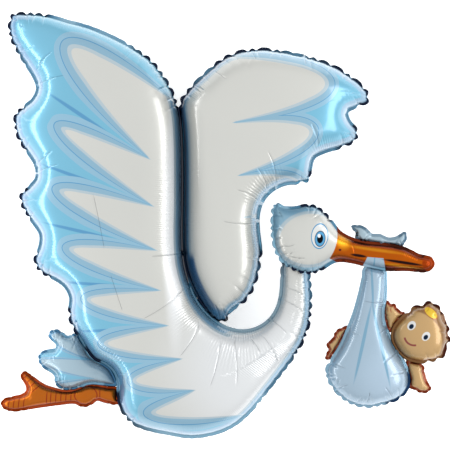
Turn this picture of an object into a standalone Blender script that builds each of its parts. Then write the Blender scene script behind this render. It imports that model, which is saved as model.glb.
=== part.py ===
"""A stork foil balloon that carries a baby in a sling, lying on its back.

Every chamber of the balloon is two sheets of foil welded together round the edge. Flat, a chamber is only
an outline. Blown up, it is deepest where the outline is widest, and it comes down to the flat weld at its
edge.
Each chamber is made here in the same way: a smooth outline, the depth that air gives it, and a flat weld.

The row frame is in metres: +X to the stork's beak, +Y to its wing tips, and +Z up from the floor to its
printed front.
"""

import math

import bmesh
import bpy
import numpy as np
from mathutils import Vector, geometry

# Overall size. The outlines below are drawn on a square grid, counted from the top left corner.
BALLOON_WIDTH = 1.62
GRID_SQUARES = 450.0
SQUARE = BALLOON_WIDTH / GRID_SQUARES

# The weld round each chamber, thicker than the real film so that it is a sound solid.
WELD_WIDTH = 0.008
WELD_THICKNESS = 0.0012
# Clear air between two welds that are taped one on the other.
TAPE_GAP = 0.0004

# How round the air makes a chamber: 1 would make a long tube round, and less leaves it flatter.
FULLNESS = 0.90
# No chamber is deeper than this from its weld to its front.
DEPTH_LIMIT = 0.20
# How far the film flattens where a chamber lies on the floor.
FLOOR_FLAT = 0.010
# Clear air between the neck and the head that is glued to it.
GLUE_GAP = 0.0008
# The head is glued to the front of the neck, this far above the neck's weld.
HEAD_ABOVE_NECK = 0.052

# Spacing of the points of the solids.
WING_STEP = 0.042
HEAD_STEP = 0.025
SMALL_STEP = 0.022
LIMB_STEP = 0.015
# Points of each ring that a press looks at about a point.
RING_POINTS = 8
# Rows of points inside the weld, where the film curves most, as shares of the step.
SHOULDER_ROWS = (0.28, 0.85)

WHITE_FOIL = (0.82, 0.83, 0.82, 1.0)
BLUE_FOIL = (0.42, 0.62, 0.78, 1.0)
SLING_FOIL = (0.55, 0.68, 0.80, 1.0)
KNOT_FOIL = (0.42, 0.50, 0.56, 1.0)
ORANGE_FOIL = (0.70, 0.33, 0.05, 1.0)
SKIN_FOIL = (0.66, 0.50, 0.33, 1.0)

# The near wing, the body and the neck are one chamber. Its outline runs from the wing tip along the top,
# down the inside, round the bend of the neck, and back under the body and up the feather tips.
BODY_OUTLINE = [
    (12, 14), (20, 12.5), (36, 13), (52, 15.5), (70, 21), (86, 25), (104, 32), (122, 40.5), (138, 50),
    (152, 60), (163, 74), (171, 87), (176.5, 100), (180.5, 116), (182.5, 140), (183, 170), (183, 205),
    (182.5, 235), (184, 260), (189, 281), (197, 300), (209, 315), (224, 325.5), (241, 330), (257, 327),
    (270, 317.5), (277.5, 304), (280.3, 288), (281, 268), (283, 250), (290, 241), (299, 242), (306, 252),
    (309.5, 270), (311.5, 290), (311.5, 312), (307.5, 333), (298, 352), (284, 371), (268, 391.5),
    (251.5, 411.5), (234, 426.5), (213, 435), (190, 438), (168, 434.5), (146, 430), (129, 422), (120.5, 409),
    (117, 396),
    (117, 382), (111, 368.5), (101, 362.5), (91, 357), (83, 344), (73, 329), (67.5, 314), (70, 304),
    (68, 293), (60, 283), (47, 277), (36, 268), (34, 257), (39.5, 244), (38.5, 232), (28, 218),
    (20.5, 204), (20.5, 193), (28, 186.5), (35, 179), (35.5, 168), (28, 154.5), (19, 142), (14, 127),
    (15.5, 112), (25, 104.5), (34.5, 95.5), (36, 84), (28.5, 70.5), (18.5, 55), (10.5, 40), (8, 27),
]

# The far wing is a chamber of its own beside the body, and its lower tip is taped to the bend of the neck.
FAR_WING_OUTLINE = [
    (179.5, 101), (184.5, 93), (194, 82.5), (207, 70.5), (221, 58.5), (238, 51), (258, 48), (278, 49.5),
    (299, 54), (319, 59), (338, 67), (354, 77.5), (366, 88.5), (370, 98), (365, 105), (352, 109.5),
    (346, 116), (353, 123.5), (359.3, 133), (356, 141), (344, 147.5), (326, 152.5), (315, 158),
    (311.5, 167), (311.5, 178), (304, 183.5), (288, 184.5), (273, 191), (263, 202.5), (259, 218),
    (260, 236), (262, 251), (259.5, 270), (253.5, 290), (243, 304), (231, 312), (227, 320.5), (221, 324),
    (211.5, 316.8), (199.3, 301.5), (188.9, 280), (183.5, 259), (182, 235), (182.2, 205), (182.2, 170),
    (181.7, 140), (179.7, 117), (178.2, 107),
]

# The head and the beak are one chamber in front of the neck.
HEAD_OUTLINE = [
    (276, 203), (271.5, 208), (271, 216), (270.3, 227), (271.5, 240), (275.5, 254), (284, 265), (296, 271.5),
    (308, 274), (319, 271.5), (329, 265), (338, 261.5), (352, 263), (370, 267.5), (387, 270.5),
    (406, 270.5), (423, 272), (431, 268.5), (433, 262.5), (428.5, 256), (420, 255), (411, 250.5),
    (399, 245.5), (383, 243), (364, 241), (350, 237), (339.5, 231), (333, 222.5), (325, 212.5),
    (315, 205.5), (304, 204.5), (293, 207), (283, 206),
]

# The loose ends of the sling stand up behind the beak.
KNOT_OUTLINE = [
    (350, 226.5), (358, 224.8), (366, 228.5), (371, 233.5), (379, 234), (388, 237.5), (397, 235.5),
    (400.5, 231.8), (405.5, 233), (405.5, 240), (400, 246.8), (388, 245.2), (374, 243.6), (361, 241.6),
    (354, 239.6), (355, 234.5),
]

SLING_OUTLINE = [
    (366, 265.2), (362.5, 267), (361.3, 276), (357.5, 293), (352.5, 311), (346.5, 326.5), (339.5, 343),
    (331, 357), (325.5, 366), (325.5, 377), (332, 388), (341, 398), (353, 404.5), (367, 407), (381, 404.5),
    (394, 400.5), (403.5, 394), (409, 383), (408, 370.5), (402, 357.5), (394.5, 346.5), (390, 336),
    (384.5, 323), (383.5, 310), (385.7, 296), (386, 282), (385.2, 271.5), (382, 268.6), (374, 266.8),
]

BABY_HEAD_OUTLINE = [
    (405.5, 312), (411, 307), (420, 303.5), (425, 302.5), (429, 298.8), (433, 302.5), (440.5, 308),
    (442.5, 315), (444, 320), (449, 325.5), (446.5, 333), (449.7, 340), (445, 348), (442.5, 356),
    (434, 360.5), (421, 362.5), (408, 360), (398, 352.5), (391.5, 342), (390.5, 331), (396, 320.5),
]

BABY_ARM_OUTLINE = [
    (382.5, 305), (385, 299.5), (389, 302.5), (394.5, 304), (397.5, 309), (403, 311.5), (405, 313.2),
    (397, 321.3), (391.3, 331), (387, 330), (384, 322), (382, 313),
]

BABY_LEG_OUTLINE = [
    (406, 358.8), (412, 360.4), (419, 361.4), (423, 366), (424.2, 374), (426.5, 381), (430.5, 387),
    (426, 392), (418.5, 392), (412, 388.5), (408, 387), (407.6, 377), (404.9, 365.6),
]

BABY_HAND_OUTLINE = [
    (324.3, 357), (327.5, 348), (325, 343.5), (331, 338.5), (334.5, 331), (339, 327.8), (345, 325.5),
    (347.6, 327.2), (341.2, 341), (334, 352.2), (328.8, 359.6),
]

TAIL_OUTLINE = [
    (48, 335), (53, 329.2), (61, 331), (67.5, 336), (76.5, 333), (83.6, 343.6), (90.8, 355.6), (100.8, 362.3),
    (110.3, 369), (116, 380.5), (116, 386.2), (104, 385.5), (90, 384.5), (77, 389), (64, 390), (55, 384),
    (54, 375), (46, 370), (38.7, 363), (39.5, 353), (49, 349.5), (57.5, 347), (52, 341),
]

LEGS_OUTLINE = [
    (0.4, 404), (4, 398.5), (14, 396), (24, 393), (26, 387), (21, 379), (21, 373), (26, 371.3),
    (34, 377), (44, 384), (54, 387.5), (66, 390), (77, 388), (87, 384), (98, 384.5), (111, 386.5),
    (118, 387.5), (118, 396), (119.2, 404.8), (108, 404), (97, 401), (91.5, 405), (83, 407.7),
    (74, 404), (58, 405.5), (36, 408.5), (16, 411.8), (5, 410),
]


def clear_scene():
    for old in list(bpy.data.objects):
        bpy.data.objects.remove(old)


def foil(name, colour, metallic=0.55, roughness=0.24):
    """A material for printed foil."""
    material = bpy.data.materials.new(name)
    material.use_nodes = True
    shader = material.node_tree.nodes["Principled BSDF"]
    shader.inputs["Base Color"].default_value = colour
    shader.inputs["Metallic"].default_value = metallic
    shader.inputs["Roughness"].default_value = roughness
    return material


def grid_to_metres(points):
    """Grid squares, counted right and down from the top left corner, as metres about the grid's middle."""
    squares = np.array(points, float)
    half = GRID_SQUARES / 2
    return np.stack([squares[:, 0] - half, half - squares[:, 1]], axis=1) * SQUARE


def smooth_loop(points, step):
    """A closed smooth curve through the points, cut into equal lengths of about one step, anticlockwise."""
    corners = grid_to_metres(points)
    before, after = np.roll(corners, 1, axis=0), np.roll(corners, -1, axis=0)
    beyond = np.roll(corners, -2, axis=0)
    t = np.linspace(0, 1, 24, endpoint=False)[None, :, None]
    a, b, c, d = (v[:, None, :] for v in (before, corners, after, beyond))
    curve = 0.5 * (
        2 * b
        + (c - a) * t
        + (2 * a - 5 * b + 4 * c - d) * t**2
        + (3 * b - a - 3 * c + d) * t**3
    )
    curve = curve.reshape(-1, 2)
    closed = np.vstack([curve, curve[:1]])
    along = np.concatenate([[0], np.cumsum(np.linalg.norm(np.diff(closed, axis=0), axis=1))])
    count = max(12, round(along[-1] / step))
    stations = np.arange(count) * along[-1] / count
    loop = np.stack([np.interp(stations, along, closed[:, i]) for i in (0, 1)], axis=1)
    area = 0.5 * (loop[:, 0] * np.roll(loop[:, 1], -1) - loop[:, 1] * np.roll(loop[:, 0], -1)).sum()
    return loop if area > 0 else loop[::-1]


def distance_to_loop(points, loop):
    """The distance from each point to the nearest edge of the loop."""
    start, edge = loop, np.roll(loop, -1, axis=0) - loop
    reach = points[:, None, :] - start[None]
    share = np.clip((reach * edge).sum(-1) / (edge * edge).sum(-1), 0, 1)
    return np.linalg.norm(reach - share[..., None] * edge, axis=-1).min(1)


def is_inside(points, loop):
    """True for each point that the loop goes round."""
    x, y = points[:, :1], points[:, 1:]
    x1, y1 = loop.T
    x2, y2 = np.roll(loop, -1, axis=0).T
    crosses = (y1 > y) != (y2 > y)
    rise = np.where(y2 == y1, 1.0, y2 - y1)
    return (crosses & (x < x1 + (y - y1) * (x2 - x1) / rise)).sum(1) % 2 == 1


def row_inside(loop, depth, step):
    """Points of the loop moved inwards by depth, without those that land too near another stretch of it."""
    edge = np.roll(loop, -1, axis=0) - loop
    after = np.stack([-edge[:, 1], edge[:, 0]], axis=1) / np.linalg.norm(edge, axis=1)[:, None]
    before = np.roll(after, 1, axis=0)
    corner = 1 + (before * after).sum(1)[:, None]
    row = loop + (before + after) / corner * depth
    row = row[is_inside(row, loop)]
    row = row[distance_to_loop(row, loop) > 0.93 * depth]
    kept = []
    for point in row:
        if all(np.hypot(*(point - other)) > 0.55 * step for other in kept):
            kept.append(point)
    return np.array(kept).reshape(-1, 2)


def fill_points(loop, step):
    """The points inside an outline: a row on the weld's inner edge, rows on the shoulder, an even field."""
    depths = [WELD_WIDTH] + [WELD_WIDTH + share * step for share in SHOULDER_ROWS]
    rows = [row_inside(loop, depth, step) for depth in depths]
    low, high = loop.min(0), loop.max(0)
    row_height = step * math.sqrt(3) / 2
    field = np.array(
        [
            (x + 0.5 * step * (j % 2), y)
            for j, y in enumerate(np.arange(low[1], high[1], row_height))
            for x in np.arange(low[0], high[0], step)
        ]
    )
    field = field[is_inside(field, loop)]
    field = field[distance_to_loop(field, loop) > depths[-1] + 0.55 * step]
    return np.vstack([loop, *rows, field])


def air_depth(points, triangles, distance):
    """How far air lifts the film above the weld at each point.

    The film's depth is the root of a field that curves evenly and is nothing on the weld. That gives a round
    section across a long tube, and a flatter one across a round pillow, as real foil does.
    """
    count = len(points)
    stiffness, load = np.zeros((count, count)), np.zeros(count)
    a, b, c = (points[triangles[:, i]] for i in range(3))
    area = 0.5 * ((b[:, 0] - a[:, 0]) * (c[:, 1] - a[:, 1]) - (b[:, 1] - a[:, 1]) * (c[:, 0] - a[:, 0]))
    edges = (c - b, a - c, b - a)
    for i in range(3):
        np.add.at(load, triangles[:, i], area / 3)
        for j in range(3):
            np.add.at(
                stiffness,
                (triangles[:, i], triangles[:, j]),
                (edges[i] * edges[j]).sum(1) / (4 * area),
            )
    free = np.where(distance > WELD_WIDTH * 1.02)[0]
    field = np.zeros(count)
    field[free] = np.linalg.solve(stiffness[np.ix_(free, free)], load[free])
    round_depth = FULLNESS * np.sqrt(2 * np.maximum(field, 0))
    return DEPTH_LIMIT * np.tanh(round_depth / DEPTH_LIMIT)


class Chamber:
    """One welded chamber: its points and triangles seen from above, and the heights of its front and back."""

    def __init__(self, outline, step):
        self.loop = smooth_loop(outline, step)
        points = fill_points(self.loop, step)
        rim = list(range(len(self.loop)))
        found = geometry.delaunay_2d_cdt([Vector(p) for p in points], [], [rim], 1, 1e-7)
        self.points = np.array([tuple(v) for v in found[0]])
        self.triangles = np.array([face for face in found[2] if len(face) == 3])
        self.rim_count = len(rim)
        distance = distance_to_loop(self.points, self.loop)
        self.depth = air_depth(self.points, self.triangles, distance)
        self.reach = step / 2
        self.place(0.0)

    def place(self, level):
        """Sets the height of the weld above the floor. What would reach under the floor lies flat on it."""
        self.level = level
        self.front = level + WELD_THICKNESS / 2 + self.depth
        self.back = np.maximum(level - WELD_THICKNESS / 2 - self.depth, 0.0)
        return self

    def lie_on_floor(self):
        return self.place(self.depth.max() + WELD_THICKNESS / 2 - FLOOR_FLAT)

    def swell_to(self, other):
        """Blows this chamber up as deep as another one."""
        self.depth = self.depth * other.depth.max() / self.depth.max()
        return self

    def height_at(self, points, heights, outside):
        """The height of the front or back over each point, or outside where the chamber isn't there."""
        a, b, c = (self.points[self.triangles[:, i]] for i in range(3))
        ab, ac = b - a, c - a
        area = ab[:, 0] * ac[:, 1] - ab[:, 1] * ac[:, 0]
        ap = points[:, None, :] - a[None]
        v = (ap[..., 0] * ac[:, 1] - ap[..., 1] * ac[:, 0]) / area
        w = (ab[:, 0] * ap[..., 1] - ab[:, 1] * ap[..., 0]) / area
        within = (v > -1e-6) & (w > -1e-6) & (v + w < 1 + 1e-6)
        hit = within.argmax(1)
        row = np.arange(len(points))
        v, w = v[row, hit], w[row, hit]
        corner = heights[self.triangles[hit]]
        height = corner[:, 0] * (1 - v - w) + corner[:, 1] * v + corner[:, 2] * w
        return np.where(within.any(1), height, outside)

    def around(self):
        """Each point with two rings of points about it, so a press also clears what lies between them."""
        turns = np.arange(RING_POINTS) * math.tau / RING_POINTS
        ring = np.stack([np.cos(turns), np.sin(turns)], axis=1)
        offsets = np.vstack([ring * self.reach / 2, ring * self.reach])
        return [self.points] + [self.points + offset for offset in offsets]

    def press_onto(self, lower):
        """The back gives way to a chamber that lies under it."""
        for points in self.around():
            floor = lower.height_at(points, lower.front, -1.0)
            self.back = np.maximum(self.back, floor + GLUE_GAP)
        self.front = np.maximum(self.front, self.back + WELD_THICKNESS)

    def make_object(self, name, material):
        """The closed solid: the front, the back, and the cut edge of the weld between them."""
        mesh = bmesh.new()
        middle = Vector((*self.points.mean(0), self.level))
        fronts = [mesh.verts.new(Vector((*p, z)) - middle) for p, z in zip(self.points, self.front)]
        backs = [mesh.verts.new(Vector((*p, z)) - middle) for p, z in zip(self.points, self.back)]
        for i, j, k in self.triangles.tolist():
            mesh.faces.new((fronts[i], fronts[j], fronts[k]))
            mesh.faces.new((backs[k], backs[j], backs[i]))
        for i in range(self.rim_count):
            j = (i + 1) % self.rim_count
            mesh.faces.new((backs[i], backs[j], fronts[j], fronts[i]))
        bmesh.ops.recalc_face_normals(mesh, faces=mesh.faces)
        data = bpy.data.meshes.new(name)
        mesh.to_mesh(data)
        mesh.free()
        data.shade_smooth()
        data.set_sharp_from_angle(angle=math.radians(50))
        data.materials.append(material)
        made = bpy.data.objects.new(name, data)
        made.location = middle
        bpy.context.scene.collection.objects.link(made)
        return made


def centre_on_origin(objects):
    """Moves the whole balloon so that the middle of its box, seen from above, is over the origin."""
    bpy.context.view_layer.update()
    corners = np.array([made.matrix_world @ v.co for made in objects for v in made.data.vertices])
    middle = (corners.min(0) + corners.max(0)) / 2
    for made in objects:
        made.location -= Vector((middle[0], middle[1], 0.0))


def build():
    clear_scene()
    white = foil("white_foil", WHITE_FOIL)
    blue = foil("blue_foil", BLUE_FOIL)
    sling_blue = foil("sling_foil", SLING_FOIL)
    grey_blue = foil("knot_foil", KNOT_FOIL)
    orange = foil("orange_foil", ORANGE_FOIL)
    skin = foil("skin_foil", SKIN_FOIL)

    # Where two chambers meet, one weld is taped under the other, a film and a gap lower.
    tape = WELD_THICKNESS + TAPE_GAP
    body = Chamber(BODY_OUTLINE, WING_STEP).lie_on_floor()
    far_wing = Chamber(FAR_WING_OUTLINE, WING_STEP).swell_to(body).place(body.level - tape)
    tail = Chamber(TAIL_OUTLINE, SMALL_STEP).place(body.level - tape)
    legs = Chamber(LEGS_OUTLINE, SMALL_STEP).place(tail.level - tape)

    head = Chamber(HEAD_OUTLINE, HEAD_STEP).place(body.level + HEAD_ABOVE_NECK)
    head.press_onto(body)
    knot = Chamber(KNOT_OUTLINE, LIMB_STEP).place(head.level - tape)
    sling = Chamber(SLING_OUTLINE, HEAD_STEP).place(head.level - tape)
    baby_head = Chamber(BABY_HEAD_OUTLINE, SMALL_STEP).place(sling.level + tape)
    limb_outlines = {
        "baby_arm": BABY_ARM_OUTLINE,
        "baby_leg": BABY_LEG_OUTLINE,
        "baby_hand": BABY_HAND_OUTLINE,
    }
    limbs = {
        name: Chamber(outline, LIMB_STEP).place(sling.level - tape)
        for name, outline in limb_outlines.items()
    }

    made = [
        body.make_object("body_neck_and_near_wing", white),
        far_wing.make_object("far_wing", white),
        head.make_object("head_and_beak", white),
        knot.make_object("sling_knot", grey_blue),
        sling.make_object("sling", sling_blue),
        baby_head.make_object("baby_head", skin),
        tail.make_object("tail_feathers", blue),
        legs.make_object("legs", orange),
    ]
    made += [limb.make_object(name, skin) for name, limb in limbs.items()]
    centre_on_origin(made)


build()
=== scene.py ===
# %% [markdown]
# # A stork foil balloon
#
# A shaped foil balloon is made of flat chambers. Each one is two sheets of printed film, welded together round
# the edge and blown up. This lesson dresses the plain solids of such a balloon: it gives each chamber a fine skin
# of film, gathers the film at its welds, prints it, and lights it like a studio picture.
#
# The solids come first. They are the fixed frame that everything here is measured from.

# %% Load the solids
import math

import bpy
import numpy as np
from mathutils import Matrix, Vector, geometry, kdtree
from mathutils.bvhtree import BVHTree


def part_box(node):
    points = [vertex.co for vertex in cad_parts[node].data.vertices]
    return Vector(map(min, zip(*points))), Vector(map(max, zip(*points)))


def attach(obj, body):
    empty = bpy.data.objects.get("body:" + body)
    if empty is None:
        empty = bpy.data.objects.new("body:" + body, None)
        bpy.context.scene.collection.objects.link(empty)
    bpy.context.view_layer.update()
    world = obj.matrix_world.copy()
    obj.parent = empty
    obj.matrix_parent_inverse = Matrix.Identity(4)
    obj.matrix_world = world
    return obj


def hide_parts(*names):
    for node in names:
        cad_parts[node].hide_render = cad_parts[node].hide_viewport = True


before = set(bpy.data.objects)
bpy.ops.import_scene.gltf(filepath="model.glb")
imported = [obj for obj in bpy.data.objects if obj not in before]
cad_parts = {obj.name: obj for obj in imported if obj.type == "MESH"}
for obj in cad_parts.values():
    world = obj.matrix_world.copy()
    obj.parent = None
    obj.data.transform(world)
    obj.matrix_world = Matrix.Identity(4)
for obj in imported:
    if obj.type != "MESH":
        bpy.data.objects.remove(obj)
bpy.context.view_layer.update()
print("solids:", sorted(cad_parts))

# %% [markdown]
# Places on the print are easiest to give on a square grid laid over the balloon, 450 squares each way, counted
# from the top left corner, as the solids' outlines are. One square is 3.6 mm on the real balloon.

# %% A grid for places on the print
SQUARE = 0.0036
GRID_MIDDLE = (225.1, 225.15)


def at(squares):
    """Grid squares, right and down, as metres in the balloon's frame."""
    squares = np.asarray(squares, float)
    return (squares - GRID_MIDDLE) * (SQUARE, -SQUARE)


print("the grid's corners:", at([(0, 0), (450, 450)]).round(3).tolist())

# %% [markdown]
# The camera looks straight down on the balloon, which lies on its back. Balloons are photographed from far away
# with a long lens, so the camera stands 9 m up. The floor is pale, and big enough to fill every view.

# %% The camera and the floor
CAMERA_HEIGHT = 9.0
WELD_HEIGHT = 0.155
PICTURE_WIDTH = 450 * SQUARE

bpy.ops.object.select_all(action="DESELECT")
bpy.ops.object.camera_add(location=(0.0, 0.0, CAMERA_HEIGHT), rotation=(0.0, 0.0, 0.0))
camera = bpy.context.object
picture_middle = at((225, 225))
camera.location = (picture_middle[0], picture_middle[1], CAMERA_HEIGHT)
camera.data.sensor_fit = "HORIZONTAL"
camera.data.sensor_width = 36.0
camera.data.lens = 36.0 * (CAMERA_HEIGHT - WELD_HEIGHT) / PICTURE_WIDTH
camera.data.clip_end = 60.0
bpy.context.scene.camera = camera

bpy.ops.mesh.primitive_plane_add(size=30.0, location=(0.0, 0.0, -0.001))
floor = bpy.context.object
floor.name = "studio_floor"
print("lens:", round(camera.data.lens), "mm")

# %% [markdown]
# The skin starts from the outline of its solid. A solid's mesh arrives as loose triangles, so its points are
# merged first, in a copy. The triangles that face up are the front film, and the edges that only one of them
# uses are the outline. The outline is then drawn again as a smooth curve through its points.

# %% Read an outline from a solid
MERGE = 1e-5
CURVE_CUTS = 16


def outline_of(node):
    """The outline of a chamber seen from above, anticlockwise, and the height of its weld."""
    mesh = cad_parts[node].data
    places = np.empty(len(mesh.vertices) * 3)
    mesh.vertices.foreach_get("co", places)
    places = places.reshape(-1, 3)
    mesh.calc_loop_triangles()
    corners = np.empty(len(mesh.loop_triangles) * 3, int)
    mesh.loop_triangles.foreach_get("vertices", corners)
    _, first, merged = np.unique(np.round(places / MERGE), axis=0, return_index=True, return_inverse=True)
    triangles = merged.reshape(-1)[corners].reshape(-1, 3)
    points = places[first]
    a, b, c = (points[triangles[:, i]] for i in range(3))
    front = triangles[np.cross(b - a, c - a)[:, 2] > 1e-9]
    edges = {(int(t[i]), int(t[(i + 1) % 3])) for t in front for i in range(3)}
    after = {i: j for i, j in edges if (j, i) not in edges}
    start = next(iter(after))
    loop = [start]
    while after[loop[-1]] != start:
        loop.append(after[loop[-1]])
    rim = points[loop]
    return rim[:, :2], float(rim[:, 2].mean())


def lengths_along(line):
    """How far along a line of points each of them is."""
    return np.concatenate([[0], np.cumsum(np.linalg.norm(np.diff(line, axis=0), axis=1))])


def smooth_loop(corners, step):
    """A closed smooth curve through the corners, cut into equal lengths of about one step."""
    before, after = np.roll(corners, 1, axis=0), np.roll(corners, -1, axis=0)
    beyond = np.roll(corners, -2, axis=0)
    t = np.linspace(0, 1, CURVE_CUTS, endpoint=False)[None, :, None]
    a, b, c, d = (v[:, None, :] for v in (before, corners, after, beyond))
    curve = 0.5 * (
        2 * b
        + (c - a) * t
        + (2 * a - 5 * b + 4 * c - d) * t**2
        + (3 * b - a - 3 * c + d) * t**3
    )
    closed = np.vstack([curve.reshape(-1, 2), curve[:1, 0]])
    along = lengths_along(closed)
    count = round(along[-1] / step)
    stations = np.arange(count) * along[-1] / count
    return np.stack([np.interp(stations, along, closed[:, i]) for i in (0, 1)], axis=1), stations, along[-1]


for node in sorted(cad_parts):
    rim, height = outline_of(node)
    print(node, "outline of", len(rim), "points, weld at", round(height, 4))

# %% [markdown]
# The film is filled with points in rows along the weld, close together where it turns up steeply, and in an even
# field further in. Delaunay's method joins them into triangles. No modelling operator gives rows that follow a
# free outline like this, so this part is done in code.

# %% Fill an outline with points and triangles
WELD_WIDTH = 0.0095
# Depths of the rows inside the weld, in metres from the weld's inner edge.
ROW_DEPTHS = (0.0, 0.0005, 0.0016, 0.0036, 0.0068, 0.0115, 0.0175, 0.025, 0.034)
# Rows of points on a crease and beside it, and how far all other points stay away from it.
CREASE_ROWS = (0, 0.0022, -0.0022, 0.0050, -0.0050)
CREASE_ROOM = 0.0068
CREASE_START = 0.002
LEAST_GAP = 0.0008
# How much nearer the outline than its depth a row's point may be, and, as shares of a step, how close together its
# points may come and how far the field stays from the last row.
ROW_SLACK = 0.0002
LEAST_SPREAD, FIELD_ROOM = 0.35, 0.6


def tree_of(points):
    """A search tree of points in the plane."""
    tree = kdtree.KDTree(len(points))
    for i, point in enumerate(points):
        tree.insert((*point, 0), i)
    tree.balance()
    return tree


def left_of(directions):
    """The direction to the left of each direction, one metre long."""
    side = np.stack([-directions[:, 1], directions[:, 0]], axis=1)
    return side / np.linalg.norm(side, axis=1)[:, None]


def is_inside(points, loop):
    """True for each point that the loop goes round."""
    x1, y1 = loop.T
    x2, y2 = np.roll(loop, -1, axis=0).T
    rise = np.where(y2 == y1, 1.0, y2 - y1)
    found = []
    for part in np.array_split(points, max(1, len(points) // 2000)):
        x, y = part[:, :1], part[:, 1:]
        crosses = (y1 > y) != (y2 > y)
        found.append((crosses & (x < x1 + (y - y1) * (x2 - x1) / rise)).sum(1) % 2 == 1)
    return np.concatenate(found)


def nearest_on(loop, points):
    """For each point, the number of the nearest corner of the loop, counted with a fraction, and the distance."""
    tree = tree_of(loop)
    near = np.array([tree.find((*p, 0))[1] for p in points])
    best, place = np.full(len(points), 1e9), near.astype(float)
    for shift in (-1, 0):
        start = (near + shift) % len(loop)
        origin, edge = loop[start], loop[(start + 1) % len(loop)] - loop[start]
        share = np.clip(((points - origin) * edge).sum(1) / (edge * edge).sum(1), 0, 1)
        gap = np.linalg.norm(points - origin - share[:, None] * edge, axis=1)
        place = np.where(gap < best, start + share, place)
        best = np.minimum(best, gap)
    return place, best


def distance_to_line(points, line):
    """For each point, its distance to an open line of points, and how far along the line that is, 0 to 1."""
    best, place = np.full(len(points), 9.0), np.zeros(len(points))
    low, high = line.min(0) - 0.02, line.max(0) + 0.02
    near = np.nonzero(((points > low) & (points < high)).all(1))[0]
    for i, (one, two) in enumerate(zip(line[:-1], line[1:])):
        edge = two - one
        share = np.clip((points[near] - one) @ edge / (edge @ edge), 0, 1)
        gap = np.linalg.norm(points[near] - one - share[:, None] * edge, axis=1)
        closer = gap < best[near]
        place[near] = np.where(closer, (i + share) / (len(line) - 1), place[near])
        best[near] = np.where(closer, gap, best[near])
    return best, place


def crease_rows(line):
    """Rows of points on a crease and beside it, close enough together to fold the film sharply."""
    side = left_of(np.gradient(line, axis=0))
    return np.vstack([line + side * offset for offset in CREASE_ROWS])


def apart(points, least):
    """False for each point that comes closer than the least distance to an earlier one."""
    tree = tree_of(points)
    return np.array([min(j for _, j, _ in tree.find_range((*p, 0), least)) == i for i, p in enumerate(points)])


def fill_outline(loop, step, field_step, creases=()):
    """Points inside the loop and the triangles between them. The loop's own points come first."""
    after = left_of(np.roll(loop, -1, axis=0) - loop)
    before = np.roll(after, 1, axis=0)
    inwards = (before + after) / (1 + (before * after).sum(1)[:, None])
    layers = [loop]
    for depth in (WELD_WIDTH / 2, *(WELD_WIDTH + extra for extra in ROW_DEPTHS)):
        row = loop + inwards * depth
        row = row[is_inside(row, loop)]
        row = row[nearest_on(loop, row)[1] > depth - ROW_SLACK]
        spread = np.linalg.norm(row - np.roll(row, 1, axis=0), axis=1)
        layers.append(row[spread > LEAST_SPREAD * step])
    low, high = loop.min(0), loop.max(0)
    rows = np.arange(low[1], high[1], field_step * math.sqrt(3) / 2)
    columns = np.arange(low[0], high[0], field_step)
    field = np.array([(x + 0.5 * field_step * (j % 2), y) for j, y in enumerate(rows) for x in columns])
    field = field[is_inside(field, loop)]
    deep = WELD_WIDTH + ROW_DEPTHS[-1] + FIELD_ROOM * field_step
    layers.append(field[nearest_on(loop, field)[1] > deep])
    points = np.vstack(layers)
    for line in creases:
        gap, _ = distance_to_line(points, line)
        keep = gap > CREASE_ROOM
        keep[: len(loop)] = True
        rows = crease_rows(line)
        rows = rows[is_inside(rows, loop)]
        rows = rows[nearest_on(loop, rows)[1] > WELD_WIDTH + CREASE_START]
        points = np.vstack([points[keep], rows])
    points = points[apart(points, LEAST_GAP)]
    found = geometry.delaunay_2d_cdt([Vector(p) for p in points], [], [list(range(len(loop)))], 1, 1e-8)
    points = np.array([tuple(v) for v in found[0]])
    triangles = np.array([face for face in found[2] if len(face) == 3])
    return points, triangles


# %% [markdown]
# Air pushes on the film evenly. A soap film over the same outline would take a shape whose slope grows evenly
# from the edge. The square root of that shape is round across a tube and flatter across a pillow, as foil is. It
# is worked out here on the triangles, with the method of conjugate gradients.

# %% Blow up a chamber
FULLNESS = 0.90
DEPTH_LIMIT = 0.20
MOST_ROUNDS = 900


def air_depth(points, triangles, fixed, tall):
    """How far the film stands off its weld at each point, with the deepest place as deep as asked."""
    a, b, c = (points[triangles[:, i]] for i in range(3))
    area = 0.5 * ((b[:, 0] - a[:, 0]) * (c[:, 1] - a[:, 1]) - (b[:, 1] - a[:, 1]) * (c[:, 0] - a[:, 0]))
    area = np.maximum(area, 1e-12)
    count = len(points)
    load = np.bincount(triangles.ravel(), np.repeat(area / 3, 3), count)
    sides = (c - b, a - c, b - a)
    one, two, pull = [], [], []
    for i, j in ((0, 1), (1, 2), (2, 0)):
        one.append(triangles[:, i])
        two.append(triangles[:, j])
        pull.append(-(sides[i] * sides[j]).sum(1) / (4 * area))
    one, two, pull = np.concatenate(one), np.concatenate(two), np.concatenate(pull)
    free = ~fixed

    def stretch(field):
        force = pull * (field[one] - field[two])
        total = np.bincount(one, force, count) - np.bincount(two, force, count)
        return total * free

    weight = np.bincount(one, pull, count) + np.bincount(two, pull, count)
    weight = np.where(weight > 0, weight, 1.0)
    field = np.zeros(count)
    rest = load * free
    ready = rest / weight
    push = ready.copy()
    power = (rest * ready).sum()
    for _ in range(MOST_ROUNDS):
        pushed = stretch(push)
        length = power / max((push * pushed).sum(), 1e-30)
        field += length * push
        rest -= length * pushed
        ready = rest / weight
        new_power = (rest * ready).sum()
        if new_power < 1e-14:
            break
        push = ready + push * new_power / power
        power = new_power
    depth = FULLNESS * np.sqrt(2 * np.maximum(field, 0))
    depth = DEPTH_LIMIT * np.tanh(depth / DEPTH_LIMIT)
    return depth * tall / depth.max()


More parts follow.
